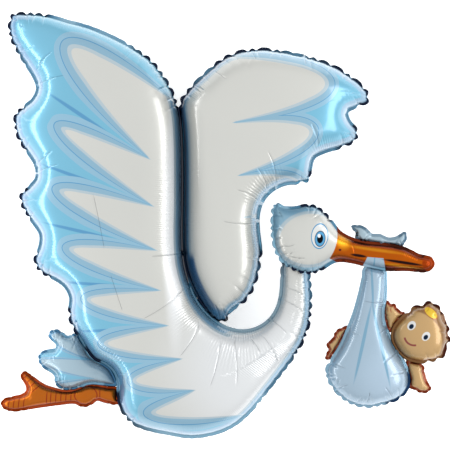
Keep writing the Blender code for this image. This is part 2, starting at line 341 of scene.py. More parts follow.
# %% [markdown]
# Flat film can't stretch, so where it swells it runs out of width and the weld is gathered into puckers about as
# long as a finger. Between two puckers the film bulges. At each pucker a sharp valley runs in from the weld, and
# the weld itself is drawn in and tips up or down. The valleys are placed along the outline by chance, from a
# fixed seed, so that every run gives the same balloon.

# %% Gather the film at the weld
PUCKER_PITCH = 0.036
PUCKER_DEPTH = 0.0050
WELD_NOTCH = 0.0095
TAB_BULGE = 0.0026
WELD_WAVE = 0.0030
CALM = 0.12
# The most that chance moves a pucker, as a share of the pitch, and leans it, and how far in it may reach.
PUCKER_SHIFT, PUCKER_LEAN = 0.24, 0.35
PUCKER_REACH, LONG_REACH = (0.010, 0.028), 1.8
VALLEY_SHARPNESS = 1.9
# How strongly a straight weld is gathered, how much more a bent one is, and the length its bend is taken over.
STRAIGHT_GATHER, BEND_GATHER = 0.26, 0.26
BEND_LENGTH = 0.045
# A pucker that is stronger and reaches further in than this has a crease.
CREASED_STRENGTH, CREASED_REACH = 0.33, 0.013


class Puckers:
    """Valleys round one outline: where they are, how strong they are and how far they reach in."""

    def __init__(self, loop, stations, length, seed, pitch, calm=()):
        chance = np.random.default_rng(seed)
        count = max(6, round(length / pitch))
        self.length = length
        self.pitch = length / count
        self.places = (np.arange(count) + chance.uniform(-PUCKER_SHIFT, PUCKER_SHIFT, count)) * self.pitch
        self.reach = chance.uniform(*PUCKER_REACH, count) * chance.choice([1.0, 1.0, LONG_REACH], count)
        self.lean = chance.uniform(-PUCKER_LEAN, PUCKER_LEAN, count)
        self.side = np.where(np.arange(count) % 2 == 0, 1.0, -1.0)
        step = stations[1] - stations[0]
        window = max(2, round(BEND_LENGTH / step))
        ahead, behind = np.roll(loop, -window, axis=0) - loop, loop - np.roll(loop, window, axis=0)
        turn = behind[:, 0] * ahead[:, 1] - behind[:, 1] * ahead[:, 0]
        bend = turn / (np.linalg.norm(ahead, axis=1) * np.linalg.norm(behind, axis=1)) / (window * step)
        corner = np.round(self.places / step).astype(int) % len(loop)
        self.strength = np.clip(STRAIGHT_GATHER + BEND_GATHER * bend[corner], 0.0, 1.0)
        self.strength *= chance.uniform(0.75, 1.0, count)
        for centre, radius in calm:
            in_calm = np.linalg.norm(loop[corner] - at(centre), axis=1) < radius * SQUARE
            self.strength = np.where(in_calm, self.strength * CALM, self.strength)
        self.corner, self.bend = corner, bend

    def valley(self, along, inward):
        """How deep in a valley each point is, from 0 on a bulge to 1 on its line, and which way it tips."""
        index = np.round(along / self.pitch).astype(int)
        best, side = np.zeros(len(along)), np.zeros(len(along))
        for shift in (-1, 0, 1):
            i = (index + shift) % len(self.places)
            away = (along - self.places[i] - self.lean[i] * inward + self.length / 2) % self.length
            away = np.abs(away - self.length / 2) / (0.5 * self.pitch)
            here = self.strength[i] * np.clip(1 - away, 0, 1) ** VALLEY_SHARPNESS * np.exp(-inward / self.reach[i])
            side = np.where(here > best, self.side[i], side)
            best = np.maximum(best, here)
        return best, side

    def creases(self, loop):
        """A short sharp crease that runs in from the weld at each stronger pucker."""
        found = []
        for i in np.nonzero((self.strength > CREASED_STRENGTH) & (self.reach > CREASED_REACH))[0]:
            start, before = loop[self.corner[i]], loop[self.corner[i] - 2]
            tangent = loop[(self.corner[i] + 2) % len(loop)] - before
            tangent /= np.linalg.norm(tangent)
            inwards = np.array([-tangent[1], tangent[0]])
            steps = np.arange(WELD_WIDTH + 0.003, WELD_WIDTH + 1.5 * self.reach[i], 0.0036)[:, None]
            found.append(start + inwards * steps + tangent * self.lean[i] * steps)
        return [line for line in found if len(line) > 3]


def open_curve(corners, step=0.0036, samples=400):
    """A smooth open curve through places given in grid squares, cut into equal steps."""
    corners = at(corners)
    parts = lengths_along(corners)
    fine = np.linspace(0, parts[-1], samples)
    degree = min(3, len(corners) - 1)
    bent = [np.polyval(np.polyfit(parts, corners[:, i], degree), fine) for i in (0, 1)]
    picks = np.linspace(0, samples - 1, max(4, round(parts[-1] / step))).astype(int)
    return np.stack(bent, axis=1)[picks]


# %% [markdown]
# A crease is a narrow valley in the film with a low ridge on each side. It is pressed in against the film's own
# outward direction, so that it looks the same on a steep side as on the crown.

# %% Press creases into the film
CREASE_DEPTH = 0.0021
CREASE_WIDTH = 0.0023
CREASE_EDGE, CREASE_END = 0.001, 0.018
RIDGE_HEIGHT, RIDGE_PLACE, RIDGE_WIDTH = 0.30, 0.006, 0.003
SHORT_STRENGTH, SHORT_FADE, LONG_FADE = 0.75, 0.5, 0.12


def crease_depth(points, line, is_short):
    """How deep each point lies in a crease. A short one fades out inwards, and a long one towards both ends."""
    gap, share = distance_to_line(points, line)
    fade = (1 - share) / SHORT_FADE if is_short else np.minimum(share, 1 - share) / LONG_FADE
    ridge = RIDGE_HEIGHT * np.exp(-(((gap - RIDGE_PLACE) / RIDGE_WIDTH) ** 2))
    shape = np.exp(-((gap / CREASE_WIDTH) ** 2)) - ridge
    return (SHORT_STRENGTH if is_short else 1.0) * np.clip(fade, 0, 1) * shape * (gap < CREASE_END)


def film_normals(points, triangles):
    """The outward direction at each point of a sheet."""
    a, b, c = (points[triangles[:, i]] for i in range(3))
    facing = np.cross(b - a, c - a)
    total = np.zeros_like(points)
    for i in range(3):
        for axis in range(3):
            total[:, axis] += np.bincount(triangles[:, i], facing[:, axis], len(points))
    return total / np.maximum(np.linalg.norm(total, axis=1)[:, None], 1e-12)


# %% [markdown]
# Now the pieces come together in one function. It reads the outline of a solid, fills it, blows it up, gathers
# the weld, and makes one closed mesh of the front film, the back film and the weld's cut edge. It also keeps what
# the print needs to know at each point: the distance from the outline, the place along it, how far it lies in a
# valley or a crease, how steep the film is there, and how much painted shade its weld gets.

# %% Make the film of a chamber
HALF_WELD = 0.0006
SHEET_GAP, LEAST_THICKNESS = 0.001, 0.0008
ABOVE_ALL = 2.0
# A valley draws the weld in fully from 1 / VALLEY_GAIN of its depth, out to WELD_REACH times the weld's width.
VALLEY_GAIN, WELD_REACH = 1.6, 1.5
# Numbers for the material: how fast the slope's grows, how much painted shade a straight weld gets, and what a bend
# adds.
SLOPE_GAIN = 6
STRAIGHT_DARK, BEND_DARK = 0.15, 0.32

films = {}


def make_film(
    node, seed, step=0.0045, field_step=0.0075, pitch=PUCKER_PITCH, gather=1.0, rests_on=None, folds=(), calm=(),
    plain=(),
):
    """The skin of one chamber: a closed mesh with its front film first.

    Folds are lines in grid squares, and calm places are circles where the weld is hardly gathered. No short crease
    runs into a plain circle.
    """
    corners, weld_height = outline_of(node)
    loop, stations, length = smooth_loop(corners, step)
    puckers = Puckers(loop, stations, length, seed, pitch, calm)
    long_folds = [open_curve(line) for line in folds]
    short_folds = puckers.creases(loop)
    for centre, radius in plain:
        outside = [np.linalg.norm(line - at(centre), axis=1).min() > radius * SQUARE for line in short_folds]
        short_folds = [line for line, clear in zip(short_folds, outside) if clear]
    points, triangles = fill_outline(loop, step, field_step, short_folds + long_folds)
    place, distance = nearest_on(loop, points)
    along = np.interp(place, np.arange(len(loop) + 1), np.append(stations, length))
    low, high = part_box(node)
    depth = air_depth(points, triangles, distance < WELD_WIDTH + 1e-4, high[2] - weld_height)

    inward = np.maximum(distance - WELD_WIDTH, 0)
    valley, side = puckers.valley(along, inward)
    on_weld = np.clip(1 - distance / (WELD_WIDTH * WELD_REACH), 0, 1)
    near, ahead = place.astype(int) % len(loop), (place.astype(int) + 1) % len(loop)
    outwards = -left_of(loop[ahead] - loop[near])
    crease = np.zeros(len(points))
    for i, line in enumerate(short_folds + long_folds):
        crease += crease_depth(points, line, is_short=i < len(short_folds))

    front = np.column_stack([points, weld_height + depth])
    back = np.column_stack([points, np.maximum(weld_height - 2 * HALF_WELD - depth, low[2])])
    draw_in = (TAB_BULGE - WELD_NOTCH * np.minimum(valley * VALLEY_GAIN, 1)) * on_weld * gather
    tip = WELD_WAVE * side * valley * on_weld * gather
    sheets = []
    for sheet, turned in ((front, triangles), (back, triangles[:, ::-1])):
        normals = film_normals(sheet, turned)
        sunk = PUCKER_DEPTH * gather * valley * (inward > 0) + CREASE_DEPTH * crease * (inward > CREASE_EDGE)
        sheet = sheet - normals * sunk[:, None]
        sheet[:, :2] += outwards * draw_in[:, None]
        sheet[:, 2] += tip
        sheets.append(sheet)
    front, back = sheets
    back[:, 2] = np.maximum(back[:, 2], low[2])
    if rests_on:
        tree = films[rests_on]["tree"]
        for i, (x, y, z) in enumerate(back):
            hit = tree.ray_cast(Vector((x, y, ABOVE_ALL)), Vector((0, 0, -1)))[0]
            if hit and hit.z + SHEET_GAP > z:
                back[i, 2] = min(hit.z + SHEET_GAP, front[i, 2] - LEAST_THICKNESS)

    count, rim = len(points), np.arange(len(loop))
    ahead = np.roll(rim, -1)
    faces = [tuple(t) for t in triangles.tolist()]
    faces += [tuple(t) for t in (triangles[:, ::-1] + count).tolist()]
    faces += list(zip((rim + count).tolist(), (ahead + count).tolist(), ahead.tolist(), rim.tolist()))
    mesh = bpy.data.meshes.new("film_of_" + node)
    mesh.from_pydata(np.vstack([front, back]).tolist(), [], faces)
    mesh.update()
    mesh.shade_smooth()
    steep = 1 - np.abs(film_normals(np.column_stack([points, depth]), triangles)[:, 2])
    stored = {
        "from_weld": distance,
        "along_weld": along,
        "valley": valley,
        "crease": np.clip(crease, 0, 1),
        "slope": np.clip(steep * SLOPE_GAIN, 0, 1),
        "faces_left": np.clip(-outwards[:, 0], 0, 1),
        # How much painted shade the weld gets, more where the outline bulges out.
        "painted_weld_shade": np.clip(STRAIGHT_DARK + BEND_DARK * puckers.bend[near], 0, 1),
    }
    for name, values in stored.items():
        attribute = mesh.attributes.new(name, "FLOAT", "POINT")
        attribute.data.foreach_set("value", np.tile(values, 2).astype(np.float32))
    film = bpy.data.objects.new("film_of_" + node, mesh)
    bpy.context.scene.collection.objects.link(film)
    films[node] = {"object": film, "tree": BVHTree.FromPolygons([Vector(p) for p in front], triangles.tolist())}
    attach(film, "root")
    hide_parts(node)
    print(node, "film:", len(mesh.polygons), "faces, weld", round(length, 2), "m long,", len(short_folds), "creases")


# %% [markdown]
# Besides the short creases at the weld, the real film has some long folds. They cross the chambers where these
# bend, such as under the neck, and at the notches between the wing's lobes. They are listed in squares.

# %% Make every film
BODY_FOLDS = [
    [(201, 320), (195, 334), (188, 345), (179, 356)],
    [(221, 335), (219, 352), (215, 370), (209, 387)],
    [(234, 335), (236, 352), (237, 370), (236, 385)],
    [(250, 337), (256, 344), (260, 352)],
    [(187, 286), (172, 300), (156, 311), (141, 319)],
    [(184, 253), (166, 255), (150, 256)],
    [(95, 192), (102, 225), (107, 252)],
    [(112, 272), (120, 297), (125, 312)],
    [(38, 72), (46, 60), (55, 53)],
    [(40, 85), (54, 80), (68, 77)],
    [(38, 165), (46, 158), (55, 152)],
    [(38, 173), (50, 168), (62, 165)],
    [(268, 318), (280, 326), (287, 334)],
    [(282, 300), (296, 306), (304, 313)],
    [(286, 288), (297, 291), (304, 296)],
    [(261, 333), (270, 345), (279, 364)],
]
WING_FOLDS = [
    [(214, 72), (220, 76), (226, 81)],
    [(252, 53), (254, 57), (256, 61)],
    [(195, 86), (200, 89), (204, 92)],
    [(221, 221), (240, 224), (252, 223), (260, 219)],
    [(235, 190), (249, 195), (261, 203)],
    [(266, 151), (273, 165), (275, 187)],
    [(256, 168), (264, 180), (267, 192)],
    [(310, 125), (315, 134), (317, 147)],
    [(304, 58), (305, 62), (305, 66)],
    [(205, 301), (210, 308), (213, 317)],
    [(214, 303), (218, 311), (220, 321)],
    [(223, 306), (225, 313), (226, 321)],
]
KNOT_FOLDS = [
    [(351, 232), (359, 237), (364, 246)],
    [(368, 234), (364, 240), (366, 247)],
    [(383, 240), (379, 244), (378, 250)],
    [(398, 240), (401, 245), (407, 249)],
]
SLING_FOLDS = [
    [(362, 300), (372, 302), (381, 303)],
    [(393, 323), (386, 327), (379, 332)],
    [(399, 349), (390, 355), (381, 361)],
    [(335, 388), (341, 385), (347, 383)],
    [(332, 362), (338, 364), (344, 367)],
    [(365, 402), (367, 396), (368, 390)],
    [(391, 396), (387, 390), (383, 385)],
    [(404, 371), (397, 372), (390, 374)],
]
BEAK_FOLDS = [
    [(351, 243), (353, 249), (353, 257)],
    [(343, 261), (344, 265), (344, 269)],
    [(288, 256), (297, 258), (305, 258)],
    [(283, 246), (289, 246), (294, 244)],
]
# Where two chambers press against each other the weld is held flat.
SEAM_CALM = [((182, y), 24) for y in (136, 170, 204, 238)] + [((188, 266), 24), ((196, 292), 24), ((206, 316), 14)]
TAIL_CALM = [((92, 344), 16), ((112, 352), 22), ((110, 370), 20), ((130, 384), 26)]
# The weld lies smooth along the top of the near wing and all along the underside of the body.
TOP_CALM = [((64, 20), 14), ((88, 28), 16), ((112, 40), 16)]
UNDER_CALM = [((150, 430), 14), ((172, 434), 16), ((200, 437), 18), ((230, 434), 18), ((258, 422), 18),
              ((284, 402), 18), ((303, 382), 12)]
# Lengths between points for small and for very small chambers.
SMALL = {"step": 0.0036, "field_step": 0.005}
TINY = {"step": 0.003, "field_step": 0.004}
make_film("body_neck_and_near_wing", seed=3, folds=BODY_FOLDS,
          calm=[*TAIL_CALM, *SEAM_CALM, *TOP_CALM, *UNDER_CALM])
INNER_CALM = [((290, 186), 12), ((272, 200), 14), ((262, 220), 14), ((262, 242), 12)]
make_film("far_wing", seed=5, pitch=0.046, folds=WING_FOLDS, calm=[*SEAM_CALM, *INNER_CALM])
make_film("head_and_beak", seed=7, step=0.0036, field_step=0.006, pitch=0.030, gather=0.75, folds=BEAK_FOLDS,
          rests_on="body_neck_and_near_wing", calm=[((360, 260), 26), ((392, 262), 34), ((430, 262), 14)],
          plain=[((319, 237), 15)])
make_film("sling", seed=11, step=0.004, field_step=0.0065, pitch=0.034, gather=0.6, folds=SLING_FOLDS,
          calm=[((372, 285), 26), ((394, 338), 16), ((404, 372), 22)])
make_film("sling_knot", seed=13, **TINY, pitch=0.03, gather=0.25, folds=KNOT_FOLDS, plain=[((378, 240), 60)])
make_film("baby_head", seed=17, **SMALL, pitch=0.048,
          calm=[((394, 342), 20), ((399, 321), 10), ((407, 361), 13)],
          plain=[((409, 325), 9), ((423, 335), 9)])
for node, seed, place in (("baby_arm", 19, (392, 320)), ("baby_leg", 23, (415, 378)), ("baby_hand", 29, (337, 343))):
    make_film(node, seed=seed, **TINY, pitch=0.026, gather=0.3, plain=[(place, 60)])
make_film("tail_feathers", seed=31, **SMALL, pitch=0.030, gather=0.35, calm=TAIL_CALM)
make_film("legs", seed=37, **SMALL, pitch=0.026, gather=0.2, plain=[((70, 390), 90)])

# %% [markdown]
# A material is a small machine of nodes. The lines below give short names to the few nodes that the prints need,
# so that each finish reads as a recipe. Patterns read the Object coordinates or the numbers stored on the film,
# so they stay on the balloon from every side.

# %% Short names for the material nodes
# An oval on the print reaches through the balloon, whatever its height.
ANY_HEIGHT = 1000.0


class Nodes:
    """A tree of nodes that is put together with short calls."""

    def __init__(self, tree):
        self.tree = tree

    def put(self, socket, value):
        if isinstance(value, bpy.types.NodeSocket):
            self.tree.links.new(value, socket)
        elif isinstance(value, tuple) and len(value) == 3 and socket.type == "RGBA":
            socket.default_value = (*value, 1.0)
        else:
            socket.default_value = value

    def node(self, kind, inputs, **settings):
        """A new node with its settings, and what goes into its sockets by name or number."""
        node = self.tree.nodes.new("ShaderNode" + kind)
        for name, value in settings.items():
            setattr(node, name, value)
        for socket, value in inputs.items():
            self.put(node.inputs[socket], value)
        return node


class Finish(Nodes):
    """A material, with short names for its nodes."""

    def __init__(self, name):
        self.material = bpy.data.materials.new(name)
        self.material.use_nodes = True
        super().__init__(self.material.node_tree)
        self.shader = self.tree.nodes["Principled BSDF"]
        self.place = self.node("TexCoord", {}).outputs["Object"]

    def set_shader(self, settings):
        """Gives sockets of the shader their values by name."""
        for name, value in settings.items():
            self.put(self.shader.inputs[name], value)

    def maths(self, operation, *values):
        return self.node("Math", dict(enumerate(values)), operation=operation).outputs[0]

    def times(self, product, *others):
        for other in others:
            product = self.maths("MULTIPLY", product, other)
        return product

    def number(self, name):
        """A number that is stored on the mesh."""
        return self.node("Attribute", {}, attribute_name=name).outputs["Fac"]

    def rise(self, value, low, high):
        """0 below low, 1 above high, and a smooth rise between them. Falls when high is less than low."""
        turned = high < low
        values = (value, min(low, high), max(low, high), float(turned), float(not turned))
        return self.node("MapRange", dict(enumerate(values)), interpolation_type="SMOOTHSTEP").outputs[0]

    def blend(self, share, first, second, how="MIX"):
        return self.node("Mix", {0: share, 6: first, 7: second}, data_type="RGBA", blend_type=how).outputs[2]

    def lay(self, base, paint, value, low, high):
        """Lays paint over a base where a value rises, or falls, from low to high."""
        return self.blend(self.rise(value, low, high), base, paint)

    def noise(self, scale, detail, place=None):
        inputs = {"Vector": place or self.place, "Scale": scale, "Detail": detail}
        return self.node("TexNoise", inputs).outputs["Fac"]

    def oval(self, centre, radii, turn=0.0):
        """How far each place is from a centre, as a share of an oval's edge: 1 is on the edge."""
        inputs = {
            "Vector": self.place,
            "Location": (*at(centre), 0.0),
            "Rotation": (0.0, 0.0, math.radians(turn)),
            "Scale": (radii[0] * SQUARE, radii[1] * SQUARE, ANY_HEIGHT),
        }
        scaled = self.node("Mapping", inputs, vector_type="TEXTURE").outputs[0]
        return self.node("VectorMath", {0: scaled}, operation="LENGTH").outputs["Value"]

    def spot(self, oval, outer, inner):
        """1 in an oval and 0 round it, with a soft edge from outer to inner, as shares of the oval."""
        return self.rise(self.oval(*oval), outer, inner)

    def print_over(self, base, paint, edge, *ovals, share=None):
        """Prints soft-edged ovals in one paint over a base."""
        for oval in ovals:
            cover = self.spot(oval, *edge)
            base = self.blend(self.times(cover, share) if share else cover, base, paint)
        return base

    def along(self, direction, start):
        """How far each place is along a direction in the plane from a start, both given in metres."""
        dot = self.node("VectorMath", {0: self.place, 1: (*direction, 0.0)}, operation="DOT_PRODUCT")
        return self.maths("SUBTRACT", dot.outputs["Value"], float(direction @ start))

    def length_of(self, one, one_times, two, two_times):
        """The length of the sum of two directions, each multiplied by its own number."""
        parts = {}
        for i, (direction, times) in enumerate(((one, one_times), (two, two_times))):
            parts[i] = self.node("VectorMath", {0: (*direction, 0.0), "Scale": times}, operation="SCALE").outputs[0]
        total = self.node("VectorMath", parts, operation="ADD").outputs[0]
        return self.node("VectorMath", {0: total}, operation="LENGTH").outputs["Value"]

    def patch(self, corners):
        """How far inside a flat shape each place is, in metres. Its corners go round clockwise on the grid."""
        deepest = None
        places = at(corners)
        for one, two in zip(places, np.roll(places, -1, axis=0)):
            inwards = np.array([two[1] - one[1], one[0] - two[0]]) / np.linalg.norm(two - one)
            depth = self.along(inwards, one)
            deepest = depth if deepest is None else self.maths("MINIMUM", deepest, depth)
        return deepest

    def bands(self, value, stops, blur=0.15):
        """Flat bands of colour: each stop is the value that its band ends at and its colour."""
        colour = stops[-1][1]
        for (end, paint) in reversed(stops[:-1]):
            colour = self.blend(self.rise(value, end - blur, end + blur), paint, colour)
        return colour


# The room is brighter than the paint by this factor, so that the white paper under the balloon stays pure white.
ROOM_LIGHT = 1.52


def screen(red, green, blue):
    """A colour as it should look in the room, 0 to 255, as the share of light that the print sends back."""
    light = ((v / 255 / 12.92 if v < 11 else ((v / 255 + 0.055) / 1.055) ** 2.4) for v in (red, green, blue))
    return tuple(v / ROOM_LIGHT for v in light)


# %% [markdown]
# Each wing is printed with a fan of long white feathers with blue wedges between them. Each feather is half of a
# blunt oval on a base line, so that two neighbours meet in a sharp wedge. In a feather's own two directions,
# across its base and out to its end, the oval is one short formula, and dividing by its slope turns it into a
# distance from the edge. The material works that out at every place it draws, so the lines are crisp close up.

# %% Draw feathers as half ovals
END_POWER = 2.56
BASE_CLOSING = 2.0
BASE_REACH = 0.70
BAND_AT_BASE = 0.10
BAND_GROWTH = 1.3
FULL_HALF_BASE = 22.0
LEAST_SLOPE = 0.5
PATCH_BAND = 0.6


def feather_level(finish, upper, end, lower, fine):
    """How far outside a feather each place is, in squares that get narrower towards the base.

    They are also narrower for a small feather, so that its bands leave some white, and wherever fine is below 1.
    """
    upper, end, lower = at((upper, end, lower))
    middle, half_base = (upper + lower) / 2, (lower - upper) / 2
    directions = np.linalg.inv(np.stack([half_base, end - middle], axis=1))
    across, out = (finish.along(direction, middle) for direction in directions)
    beyond = finish.maths("MAXIMUM", out, 0.0)
    closing = finish.maths("MULTIPLY_ADD", finish.maths("MINIMUM", out, 0.0), BASE_CLOSING, 1.0)
    closing = finish.maths("MAXIMUM", closing, 0.0)
    square = finish.times(across, across)
    # Behind its base a feather runs on into the plain white of the body.
    wide = finish.maths("MAXIMUM", finish.times(square, closing), finish.maths("SUBTRACT", square, BASE_REACH))
    size = finish.maths("ADD", wide, finish.maths("POWER", beyond, END_POWER))
    end_slope = finish.times(finish.maths("POWER", beyond, END_POWER - 1), END_POWER)
    slope = finish.length_of(directions[0], finish.times(across, 2.0), directions[1], end_slope)
    slope = finish.maths("MAXIMUM", slope, LEAST_SLOPE)
    distance = finish.maths("DIVIDE", finish.maths("SUBTRACT", size, 1.0), slope)
    width = finish.maths("MINIMUM", finish.maths("MULTIPLY_ADD", beyond, BAND_GROWTH, BAND_AT_BASE), 1.0)
    share = min(np.linalg.norm(half_base) / SQUARE / FULL_HALF_BASE, 1.0) * fine
    return finish.maths("DIVIDE", distance, finish.times(width, SQUARE * float(share)))


def all_feathers(finish, feathers, bodies, fine=1.0):
    """The same for a fan of feathers and the plain white beside it, which is made of flat shapes."""
    levels = [feather_level(finish, *feather, fine) for feather in feathers]
    levels += [finish.maths("DIVIDE", finish.patch(body), -PATCH_BAND * SQUARE) for body in bodies]
    least = levels[0]
    for level in levels[1:]:
        least = finish.maths("MINIMUM", least, level)
    return least


def fan(meets, ends):
    """Feathers side by side. Each meets its upper neighbour at a place, has its end, and meets its lower one."""
    return list(zip(meets, ends, meets[1:]))


NEAR_WING = fan(
    [(179, 104), (148, 158), (151, 205), (154, 249), (158, 289), (166, 324), (180, 357), (192, 388), (246, 414)],
    [(63, 44), (56, 128), (54, 190), (64, 248), (82, 299), (99, 344), (128, 381), (150, 418)],
)
BODY_WHITE = [[(179, 104), (200, 60), (480, 60), (480, 460), (300, 460), (246, 414)]]
FAR_WING = fan([(196, 58), (236, 124), (240, 176), (268, 206)], [(332, 78), (318, 132), (303, 178)])
FAR_WHITE = [
    [(120, 60), (196, 58), (226, 110), (238, 200), (238, 340), (120, 340)],
    [(120, 209), (300, 209), (300, 340), (120, 340)],
]
TAIL = fan([(108, 336), (92, 360), (94, 378), (112, 396)], [(48, 334), (38, 361), (52, 388)])
TAIL_WHITE = [[(112, 336), (140, 336), (140, 396), (116, 396), (98, 376), (97, 362)]]
print("feathers on the near wing:", len(NEAR_WING))

# %% [markdown]
# Balloon foil is nylon film with a very thin coat of aluminium, printed on the outside. White ink covers the
# metal and gives a pearly white, and thin blue or orange inks let the metal shine through. Over it all lies the
# clear film, which gives sharp, bright highlights. So each finish is a soft metallic base under a clear coat. The
# weld has no white ink, so where it bulges out it is a dark mirror: its metal goes up to 1 there, and its colour
# is painted in shade too. Fine gathers that are too small for the mesh run in from the weld as a bump.

# %% Finish the foil
# Painted weld colours: TEAL where a blue weld is lit, NAVY as its shade; RUST and DEEP_RUST likewise on the beak.
NAVY = screen(10, 24, 48)
TEAL = screen(52, 118, 150)
RUST = screen(112, 40, 10)
DEEP_RUST = screen(58, 18, 4)
WELD_BLUR = 0.0012
VALLEY_SHADE, CREASE_SHADE = 0.55, 0.50
# The clear coat that a bare, dark weld has lost.
LOST_COAT = 0.85
COMB_PITCH = 0.0072


def foil(name, paint, metal=0.32, coat=0.85, gathered=()):
    """A printed foil. Paint gives the print's colour, and the weld's painted colours where it is lit and in shade.

    It may also give numbers from 0 to 1 for where the foil is bare metal under a thin ink. Gathered places are
    ovals, in squares, where fine gathers reach far in from the weld.
    """
    finish = Finish(name)
    inward, along = finish.number("from_weld"), finish.number("along_weld")
    valley, painted_weld_shade = finish.number("valley"), finish.number("painted_weld_shade")
    colour, weld_light, weld_dark, *thin_inks = paint(finish, inward)
    blotch = finish.blend(finish.noise(3.0, 3.0), (0.5, 0.53, 0.56), (1.0, 1.0, 1.0))
    colour = finish.blend(0.12, colour, blotch, "MULTIPLY")
    # Painted shade: down each pucker's valley the print takes the weld's shaded colour, and along each crease it turns
    # darker.
    colour = finish.blend(finish.times(finish.rise(valley, 0.45, 1.0), VALLEY_SHADE), colour, weld_dark)
    line = finish.times(finish.rise(finish.number("crease"), 0.45, 1.0), CREASE_SHADE)
    colour = finish.blend(line, colour, finish.blend(0.80, colour, (0.0, 0.01, 0.02)))
    # Painted light and shade on the weld: a mix of its lit and its shaded colour, more shaded where it bulges out.
    on_weld = finish.rise(inward, WELD_WIDTH + WELD_BLUR, WELD_WIDTH - WELD_BLUR)
    on_weld = finish.times(on_weld, finish.rise(valley, 0.70, 0.42))
    colour = finish.blend(on_weld, colour, finish.blend(painted_weld_shade, weld_light, weld_dark))
    bare = finish.times(on_weld, painted_weld_shade)
    for ink in thin_inks:
        bare = finish.maths("MAXIMUM", bare, ink)

    gathers = {0: along, 1: finish.times(inward, 0.12)}
    fine = finish.noise(110.0, 2.0, finish.node("CombineXYZ", gathers).outputs[0])
    patchy = finish.times(finish.rise(finish.noise(7.0, 1.0), 0.36, 0.62), 0.65)
    fade = finish.times(finish.rise(inward, 0.085, 0.012), finish.number("slope"))
    fade = finish.times(fade, patchy)
    for oval in gathered:
        fade = finish.maths("MAXIMUM", fade, finish.times(finish.spot(oval, 1.15, 0.45), 0.95))
    comb = finish.maths("MULTIPLY_ADD", fine, 3.0, finish.times(along, 2 * math.pi / COMB_PITCH))
    comb = finish.maths("MULTIPLY_ADD", finish.maths("SINE", comb), 0.30, finish.times(fine, 0.6))
    relief = finish.maths("ADD", finish.times(comb, fade), finish.times(finish.noise(14.0, 3.0), 0.20))
    bump = finish.node("Bump", {"Strength": 0.40, "Distance": 0.004, "Height": relief}).outputs[0]
    finish.set_shader({
        "Base Color": colour,
        "Metallic": finish.maths("MULTIPLY_ADD", bare, 1.0 - metal, metal),
        "Roughness": 0.30,
        "Specular IOR Level": 0.25,
        "Coat Weight": finish.maths("MULTIPLY_ADD", bare, -LOST_COAT * coat, coat),
        "Coat Roughness": 0.09,
        "Normal": bump,
        "Coat Normal": bump,
    })
    return finish.material


# %% [markdown]
# The body and both wings have the same print: white feathers with a blue-grey haze towards their edges, sky blue
# between them, and a band of haze along the weld, painted darker where it faces left. Each print also paints
# its weld's light and shade: teal where it is lit and navy in shade, but pale along the top of the near wing and
# under the body.

# %% Print the body and the wings
WHITE = screen(206, 206, 200)
PALE = screen(176, 193, 201)
HAZE = screen(132, 175, 198)
EDGE_HAZE = screen(136, 182, 206)
SKY = screen(108, 180, 208)
STREAK = screen(70, 146, 190)
SHADOW = screen(16, 52, 92)
GREY_TEAL = screen(118, 150, 166)
# Darker streaks in the sky between the feathers, as ovals in squares.
STREAKS = [
    ((82, 116), (44, 2.2), -34),
    ((80, 178), (44, 2.0), -20),
    ((82, 231), (42, 1.9), -13),
    ((92, 283), (38, 1.7), -3),
    ((104, 329), (32, 1.6), 4),
    ((300, 108), (36, 1.9), 11),
    ((286, 160), (32, 1.9), 19),
]


def feather_print(finish, inward, level, white):
    """White feathers with haze bands, sky between them and a haze band along the weld."""
    sky = finish.print_over(SKY, STREAK, (1.1, 0.6), *STREAKS)
    # Painted shade: the haze along the weld is darker where the edge faces left.
    haze = finish.blend(finish.number("faces_left"), screen(132, 174, 202), screen(92, 148, 188))
    haze = finish.print_over(haze, SKY, (1.05, 0.85), ((106, 50), (92, 24), -29))
    sky = finish.lay(sky, haze, inward, 0.031, 0.027)
    white = finish.bands(inward, [(0.024, haze), (0.031, PALE), (1.0, white)], blur=0.0010)
    stops = [(-15.0, white), (-9.0, PALE), (-0.9, HAZE), (0.0, STREAK), (5.0, EDGE_HAZE), (99.0, sky)]
    return finish.bands(level, stops), TEAL, NAVY


def body_print(finish, inward):
    """The near wing's feathers, and the weld painted in light and shade: grey-teal in the neck, pale under the body.
    """
    # Along the hollow edge between the near wing, the body and the neck the band along the weld is narrower and the
    # weld's painted lit colour is grey-teal, so the foil there looks hardly shaded.
    hollow = finish.spot(((252, 285), (42, 56)), 1.1, 0.95)
    inward = finish.maths("MULTIPLY_ADD", hollow, 0.014, inward)
    # Painted light: lighter white over the lower body, and brighter along the seam to lift the shade in the slot
    # there.
    white = finish.print_over(WHITE, screen(222, 224, 225), (1.15, 0.35), ((255, 365), (100, 100)))
    white = finish.print_over(white, screen(244, 246, 248), (1.15, 0.45), ((176, 215), (13, 135)))
    colour, light, dark = feather_print(finish, inward, all_feathers(finish, NEAR_WING, BODY_WHITE), white)
    # The weld's painted light and shade are lighter along the top of the near wing and under the body.
    top = finish.spot(((90, 34), (44, 18), -22), 1.1, 0.9)
    underside = finish.spot(((236, 422), (104, 32), -6), 1.15, 0.85)
    light = finish.blend(hollow, light, GREY_TEAL)
    # Painted shade: the weld is navy along the deep slot beside the far wing.
    light = finish.print_over(light, NAVY, (1.1, 0.8), ((181, 215), (10, 125)))
    light = finish.blend(top, finish.blend(underside, light, HAZE), HAZE)
    dark = finish.blend(underside, finish.blend(top, dark, screen(78, 132, 166)), HAZE)
    return colour, light, dark


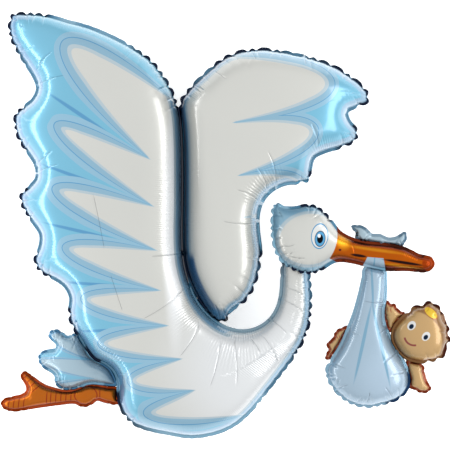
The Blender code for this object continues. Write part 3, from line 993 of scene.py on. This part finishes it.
def far_wing_print(finish, inward):
    """As on the near wing, with painted shade down its left side beside the body and a painted shadow at its foot."""
    level = all_feathers(finish, FAR_WING, FAR_WHITE, fine=0.75)
    colour, light, dark = feather_print(finish, inward, level, WHITE)
    left = finish.number("faces_left")
    # Painted shade: grey down the left side, darker by the weld, a blue crescent low down, and a shadow at the foot.
    grey = finish.times(left, 0.34, finish.rise(inward, 0.095, 0.012))
    deep = finish.times(left, finish.rise(inward, 0.024, 0.010))
    crescent = finish.times(finish.spot(((200, 290), (18, 38), 18), 1.1, 0.8), left, finish.rise(inward, 0.044, 0.034))
    foot = finish.times(finish.spot(((216, 322), (20, 15)), 1.1, 0.7), 0.85, finish.rise(inward, 0.052, 0.036))
    for cover, paint in (
        (grey, screen(96, 108, 112)),
        (deep, SHADOW),
        (crescent, screen(24, 74, 116)),
        (foot, screen(44, 104, 142)),
    ):
        colour = finish.blend(cover, colour, paint)
    # The weld's painted light and shade are paler round the inner curve.
    inner = finish.spot(((284, 214), (40, 42)), 1.1, 0.9)
    light = finish.blend(inner, light, screen(104, 164, 194))
    return colour, light, finish.blend(inner, dark, screen(84, 150, 182))


def dress(node, slot, name, paint, **shine):
    """Gives a film its finish. The slot argument is not used."""
    film = films[node]["object"]
    film.data.materials.append(bpy.data.materials.get(name) or foil(name, paint, **shine))
    print(node, "is finished with", name)


BODY_GATHERS = [
    ((167, 205), (13, 78), -1),
    ((190, 310), (16, 40), -36),
    ((250, 352), (52, 26), 0),
    ((299, 308), (12, 34), 0),
]
WING_GATHERS = [((262, 184), (26, 12), 40), ((252, 236), (9, 34), 0)]
dress("body_neck_and_near_wing", "white_foil", "printed_white", body_print, gathered=BODY_GATHERS)
dress("far_wing", "white_foil", "printed_far_wing", far_wing_print, gathered=WING_GATHERS)

# %% [markdown]
# The head is white with a blue-grey shade along its back, an orange beak and a plain bird's eye: a blue ring
# round a black middle on a white oval. Ovals are exact in a material, so the eye stays round close up. The cloth
# of the sling is printed where it comes through the beak.

# %% Print the head
EYE = (318.5, 236.0)
ORANGE = screen(184, 86, 2)
# Painted on the beak: deep orange as shade towards its weld, and amber as highlights.
DEEP_ORANGE = screen(122, 38, 0)
AMBER_HIGHLIGHT = screen(238, 164, 34)
SLING = screen(158, 182, 200)
SLING_FOLD = screen(112, 160, 186)
BEAK_DARK = screen(36, 12, 10)


def head_print(finish, inward):
    crown = finish.oval((309.0, 239.0), (31.0, 25.5), 8)
    face = finish.bands(crown, [(0.98, WHITE), (1.10, PALE), (9.0, HAZE)], blur=0.03)
    eye = finish.oval(EYE, (8.4, 12.5), -6)
    iris = finish.oval((EYE[0] + 0.3, EYE[1] + 2.6), (5.4, 8.0), -6)
    glint = finish.oval((EYE[0] - 0.6, EYE[1] - 0.4), (1.7, 2.0))
    face = finish.lay(face, STREAK, eye, 1.05, 1.0)
    face = finish.lay(face, screen(222, 224, 222), eye, 0.95, 0.90)
    rings = [(0.55, screen(4, 6, 10)), (0.88, screen(70, 156, 204)), (9.0, screen(18, 50, 84))]
    face = finish.lay(face, finish.bands(iris, rings, 0.03), iris, 1.04, 0.96)
    face = finish.lay(face, screen(246, 248, 250), glint, 1.1, 0.8)

    # Painted shade towards the beak's weld, then painted amber highlights along the beak and at its root.
    beak = finish.lay(ORANGE, DEEP_ORANGE, inward, 0.024, 0.012)
    for oval, share in (
        (((374, 249.5), (36, 2.2), -8), 0.50),
        (((402, 266.0), (22, 1.9), -8), 0.70),
        (((342, 241), (8, 10), 20), 0.90),
    ):
        beak = finish.print_over(beak, AMBER_HIGHLIGHT, (1.2, 0.2), oval, share=share)
    cloth = finish.patch([(366.0, 256.7), (382.0, 258.0), (386.0, 277.0), (358.5, 274.0)])
    on_cloth = finish.rise(cloth, -0.001, 0.001)
    folds = finish.print_over(SLING, SLING_FOLD, (1.2, 0.6), ((373, 263), (9, 0.8), 86))
    beak = finish.blend(on_cloth, beak, folds)
    mouth = [((357.5, 255.3), (9.0, 1.6), -8.6), ((402.0, 262.2), (23.0, 1.6), -8.6)]
    beak = finish.print_over(beak, BEAK_DARK, (1.15, 0.6), *mouth)
    beak = finish.print_over(beak, screen(100, 40, 22), (1.2, 0.7), ((338.8, 249.6), (1.5, 1.2)))
    tip = finish.spot(((429.0, 262.5), (9.0, 9.5)), 1.0, 0.85)
    beak = finish.blend(tip, beak, screen(150, 54, 0))

    round_face = (((290.0, 232.0), (46.5, 46.5)), ((316.0, 292.0), (36.0, 36.0)))
    in_beak = finish.times(*(finish.spot(oval, 0.992, 1.008) for oval in round_face))
    colour = finish.blend(in_beak, face, beak)
    # The weld's painted light and shade: rust browns on the beak, teal and navy on the head, haze at the back of the
    # head.
    weld = finish.blend(tip, DEEP_RUST, screen(138, 48, 2))
    nape = finish.spot(((276.0, 234.0), (15.0, 44.0)), 1.15, 0.9)
    light = finish.blend(in_beak, finish.blend(nape, TEAL, HAZE), finish.blend(tip, RUST, weld))
    dark = finish.blend(in_beak, finish.blend(nape, NAVY, HAZE), weld)
    light, dark = finish.blend(on_cloth, light, SLING), finish.blend(on_cloth, dark, SLING_FOLD)
    beak_ink = finish.times(in_beak, finish.rise(cloth, 0.001, -0.001))
    pupil = finish.times(finish.rise(iris, 0.60, 0.54), finish.rise(glint, 0.8, 1.1))
    return colour, light, dark, beak_ink, pupil


dress("head_and_beak", "white_foil", "printed_head", head_print, coat=0.6)

# %% [markdown]
# The sling is light blue, like a cloth, with two darker folds printed down it from where it hangs. Its loose ends
# above the beak are a greyer blue, with painted shade in the hollows between their lobes. The tail is three short
# feathers in light blue, with painted shade where it goes behind the body.

# %% Print the sling, the knot and the tail
KNOT = screen(156, 180, 192)
KNOT_SHADE = screen(92, 122, 142)
SLING_WELD = screen(122, 164, 188)


def sling_print(finish, inward):
    # Painted light: the cloth is lighter at the lower right; painted shade darkens it towards the weld.
    cloth = finish.print_over(SLING, screen(168, 191, 210), (1.2, 0.3), ((384, 374), (30, 32)))
    cloth = finish.lay(cloth, screen(146, 178, 202), inward, 0.03, 0.012)
    folds = [((361, 342), (44, 1.9), 77), ((379, 342), (48, 1.9), -78), ((371, 285), (24, 1.4), -88)]
    cloth = finish.print_over(cloth, SLING_FOLD, (1.05, 0.65), *folds)
    # Painted shade: the weld is dark blue at the lower right.
    low_right = ((402, 392), (16, 24), -30)
    return cloth, SLING_WELD, finish.print_over(screen(132, 168, 190), screen(14, 50, 86), (1.1, 0.8), low_right)


def knot_print(finish, inward):
    # Painted shade towards the weld and in the hollows between the lobes.
    cloth = finish.lay(KNOT, KNOT_SHADE, inward, 0.013, 0.007)
    folds = [
        ((358, 239), (9, 1.6), -52),
        ((367, 243), (6, 2.0), 62),
        ((379, 247), (5, 1.8), 72),
        ((394, 245), (7, 1.5), 60),
        ((402, 245), (7, 1.6), -58),
    ]
    cloth = finish.print_over(cloth, KNOT_SHADE, (1.3, 0.3), *folds, share=0.75)
    return cloth, screen(112, 142, 160), screen(84, 112, 132)


def tail_print(finish, inward):
    stops = [
        (-7.5, screen(158, 184, 198)),
        (-4.6, screen(132, 168, 192)),
        (-3.6, STREAK),
        (0.5, screen(130, 172, 196)),
        (99.0, screen(112, 178, 206)),
    ]
    feathers = finish.bands(all_feathers(finish, TAIL, TAIL_WHITE), stops)
    # Painted shade where the tail goes behind the body.
    behind = ((128, 372), (30, 30))
    feathers = finish.print_over(feathers, screen(58, 108, 138), (1.0, 0.35), behind, share=0.85)
    return feathers, screen(104, 160, 190), screen(64, 112, 146)


dress("sling", "sling_foil", "printed_sling", sling_print)
dress("sling_knot", "knot_foil", "printed_knot", knot_print)
dress("tail_feathers", "blue_foil", "printed_tail", tail_print)

# %% [markdown]
# The legs are orange with a round knee and rings on the shanks and toes, all in a darker line. The baby is a
# plain doll: two eyes, a smile and a yellow curl, turned with its head. Its limbs have a wide rust-brown margin
# round them, as small chambers need.

# %% Print the legs and the doll
LEG = screen(186, 96, 4)
LEG_LINE = screen(146, 44, 0)
SKIN = screen(192, 154, 98)
SKIN_SHADE = screen(146, 92, 46)
HAIR = screen(140, 100, 52)
MARGIN = screen(162, 72, 30)


def leg_print(finish, inward):
    # Painted shade: the leg is darker towards its weld.
    leg = finish.lay(LEG, screen(158, 62, 2), inward, 0.018, 0.009)
    rings = [((x, 398), (0.5, 7.5), -4) for x in (47, 51, 56, 61, 66, 71)]
    rings += [((x, 403), (0.5, 7.0), -8) for x in (9, 14, 19, 24)]
    rings += [((24 + 3.2 * i, 371 + 4.2 * i), (0.5, 8.5), -50) for i in range(5)]
    rings += [((100, 394), (0.5, 8.0), 0)]
    leg = finish.print_over(leg, LEG_LINE, (1.3, 0.7), *rings)
    knee = finish.oval((86.0, 395.0), (11.5, 9.0))
    leg = finish.lay(leg, LEG_LINE, knee, 1.06, 1.0)
    leg = finish.lay(leg, LEG, knee, 0.96, 0.90)
    top = finish.times(finish.spot(((104, 383), (36, 5.5), 3), 1.1, 0.8), 0.75, finish.rise(knee, 0.98, 1.04))
    leg = finish.blend(top, leg, screen(140, 60, 20))
    return leg, screen(164, 60, 6), screen(126, 42, 4)


def skin_print(finish, inward):
    limb = finish.bands(inward, [(0.0098, MARGIN), (0.0122, screen(176, 118, 74)), (1.0, SKIN)], 0.0008)
    fingers = [((384.0, 309.5), -2), ((386.8, 308.8), 4), ((389.6, 309.8), 12)]
    fingers += [((334.0, 338.0), 38), ((336.4, 336.4), 30), ((338.8, 336.0), 20)]
    toes = [((428.4, 387.0), -58), ((427.4, 389.6), -66), ((425.8, 391.8), -76)]
    lines = ((centre, (0.45, 2.6), turn) for centre, turn in fingers + toes)
    return finish.print_over(limb, MARGIN, (1.3, 0.6), *lines), MARGIN, RUST


def doll_print(finish, inward):
    # Painted shade: the face is darker towards its weld.
    face = finish.lay(SKIN, SKIN_SHADE, inward, 0.018, 0.008)
    pupils = []
    for x, y in ((409.5, 324.5), (423.5, 335.0)):
        face = finish.print_over(face, screen(224, 224, 222), (1.1, 0.95), ((x, y), (3.6, 4.7), -38))
        pupils.append(finish.spot(((x - 0.2, y + 0.9), (2.1, 2.7), -38), 1.15, 0.85))
        face = finish.blend(pupils[-1], face, screen(14, 34, 58))
    smile = finish.maths("ABSOLUTE", finish.maths("SUBTRACT", finish.oval((412.0, 334.5), (9.5, 9.5)), 1.0))
    chin = finish.spot(((405.0, 345.0), (9.0, 9.0)), 1.05, 0.95)
    face = finish.blend(finish.times(finish.rise(smile, 0.13, 0.07), chin), face, screen(132, 42, 30))
    face = finish.print_over(face, HAIR, (0.98, 1.05), ((409.0, 341.0), (30.5, 30.5)))
    curl = finish.oval((429, 312), (8.5, 4.4), -40)
    face = finish.lay(face, screen(158, 96, 30), curl, 1.12, 1.0)
    face = finish.lay(face, screen(226, 184, 22), curl, 0.92, 0.80)
    crown = finish.spot(((402.0, 345.0), (40.0, 40.0)), 0.98, 1.02)
    return face, screen(132, 88, 52), finish.blend(crown, screen(120, 84, 50), DEEP_RUST), *pupils


dress("legs", "orange_foil", "printed_legs", leg_print, metal=0.95, coat=0.2)
dress("baby_head", "skin_foil", "printed_doll", doll_print, coat=0.6)
for node in ("baby_arm", "baby_leg", "baby_hand"):
    dress(node, "skin_foil", "printed_skin", skin_print, coat=0.6)

# %% [markdown]
# The floor is white paper with its own light, as a lit backdrop has, so it stays white round the balloon. The room
# is light overhead and a little darker towards the horizon, so that steep sides look fuller. A long, low soft box
# on each side gives the long highlights, as in a studio.

# %% Light the studio
paper = Finish("white_paper")
grain = paper.blend(paper.noise(60.0, 4.0), (0.90, 0.90, 0.90), (0.94, 0.94, 0.94))
paper.set_shader({
    "Base Color": grain,
    "Roughness": 0.9,
    "Specular IOR Level": 0.1,
    "Emission Color": (1.0, 1.0, 1.0),
    "Emission Strength": 0.42,
})
floor.data.materials.append(paper.material)

HORIZON_LIGHT, CEILING_LIGHT = 0.95, 1.50

world = bpy.data.worlds.new("studio")
world.use_nodes = True
room = Nodes(world.node_tree)
direction = room.node("TexCoord", {}).outputs["Generated"]
height = room.node("SeparateXYZ", {0: direction}).outputs["Z"]
climb = {0: height, 1: -0.05, 2: 0.60, 3: HORIZON_LIGHT, 4: CEILING_LIGHT}
background = room.tree.nodes["Background"]
room.put(background.inputs["Color"], (0.98, 0.99, 1.0))
room.put(background.inputs["Strength"], room.node("MapRange", climb, interpolation_type="SMOOTHSTEP").outputs[0])
bpy.context.scene.world = world
bpy.context.scene.view_settings.view_transform = "Standard"


def soft_box(place, target, size, power):
    """A flat lamp of a given length and height that faces a target. Its length lies level."""
    bpy.ops.object.select_all(action="DESELECT")
    bpy.ops.object.light_add(type="AREA", location=place)
    lamp = bpy.context.object
    lamp.data.shape = "RECTANGLE"
    lamp.data.size, lamp.data.size_y = size
    lamp.data.energy = power
    lamp.visible_camera = False
    lamp.rotation_euler = (Vector(target) - Vector(place)).to_track_quat("-Z", "Y").to_euler()


soft_box((3.2, 0.3, 1.7), (0.0, 0.0, 0.15), (4.0, 1.2), 64)
soft_box((-1.35, 0.0, 0.47), (0.0, 0.0, 0.15), (2.6, 0.15), 9.5)
